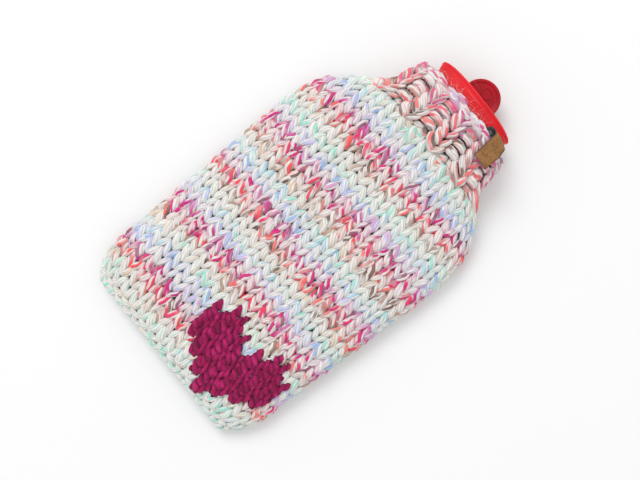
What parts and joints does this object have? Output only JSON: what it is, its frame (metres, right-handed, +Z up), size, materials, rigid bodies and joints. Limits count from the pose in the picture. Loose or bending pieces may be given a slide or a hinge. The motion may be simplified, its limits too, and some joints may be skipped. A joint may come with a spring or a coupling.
{
  "type": "knitted cover on a hot water bottle",
  "caption": "Chunky knitted cover with a ribbed collar and an embroidered heart, fitted on a rubber hot water bottle that lies flat.",
  "frame": {"origin": "on the surface that the cover lies on, under the middle of the whole object's box", "axes": "+Y along the bottle towards its neck and stopper, +Z up from the surface, the embroidered face on top, +X to the right of that face"},
  "size_m": [0.2026, 0.3552, 0.0476],
  "materials": {
    "knitted_yarn": "soft plied super-bulky wool, hand-dyed in short lengths of mint, blue, pink, coral and taupe on off-white",
    "heart_yarn": "tightly plied berry-coloured wool",
    "bottle_rubber": "moulded red rubber, satin",
    "stopper_rubber": "moulded dark red rubber, satin",
    "label_paper": "washable kraft paper with a leather-like surface, matt"
  },
  "bodies": {
    "root": {"cover": "knitted_yarn", "bottle": "bottle_rubber", "stopper": "stopper_rubber", "label": "label_paper"}
  },
  "joints": []
}
